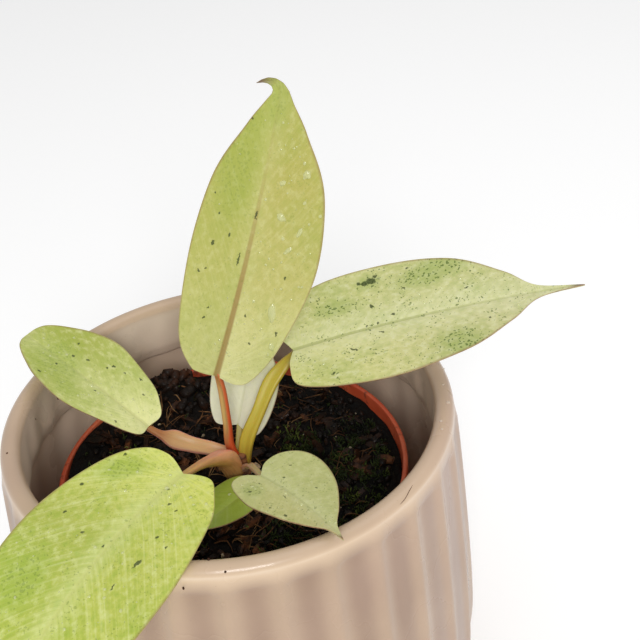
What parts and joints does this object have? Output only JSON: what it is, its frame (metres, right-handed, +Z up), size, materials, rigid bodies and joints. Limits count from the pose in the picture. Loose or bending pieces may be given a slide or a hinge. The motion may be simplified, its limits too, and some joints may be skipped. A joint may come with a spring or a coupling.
{
  "type": "potted philodendron",
  "caption": "Young philodendron with heart-shaped pale green leaves in a plastic growing pot, standing in a fluted glazed ceramic cover pot.",
  "frame": {"origin": "middle of the cover pot's foot, on the surface it stands on", "axes": "+Z up through the pot's axis; -Y is the front, towards the viewer in the picture; +X is the right-hand side"},
  "size_m": [0.198, 0.2079, 0.2365],
  "materials": {
    "glazed_stoneware": "glossy taupe beige glaze",
    "terracotta_plastic": "satin moulded plastic",
    "soil": "damp coir, bark and peat crumb",
    "stem_skin": "green brown plant tissue",
    "petiole_upright": "smooth living leaf stalk",
    "blade_upright": "satin variegated leaf",
    "petiole_right": "smooth living leaf stalk",
    "blade_right": "satin variegated leaf",
    "petiole_left": "smooth living leaf stalk",
    "blade_left": "satin variegated leaf",
    "petiole_front": "smooth living leaf stalk",
    "blade_front": "satin variegated leaf",
    "petiole_heart": "smooth living leaf stalk",
    "blade_heart": "satin variegated leaf",
    "petiole_low": "smooth living leaf stalk",
    "blade_low": "satin variegated leaf",
    "petiole_back": "smooth living leaf stalk",
    "blade_back": "satin variegated leaf"
  },
  "bodies": {
    "root": {"cover_pot": "glazed_stoneware", "growing_pot": "terracotta_plastic", "potting_mix": "soil", "stem": "stem_skin", "petiole_upright": "petiole_upright", "blade_upright": "blade_upright", "petiole_right": "petiole_right", "blade_right": "blade_right", "petiole_left": "petiole_left", "blade_left": "blade_left", "petiole_front": "petiole_front", "blade_front": "blade_front", "petiole_heart": "petiole_heart", "blade_heart": "blade_heart", "petiole_low": "petiole_low", "blade_low": "blade_low", "petiole_back": "petiole_back", "blade_back": "blade_back"}
  },
  "joints": []
}
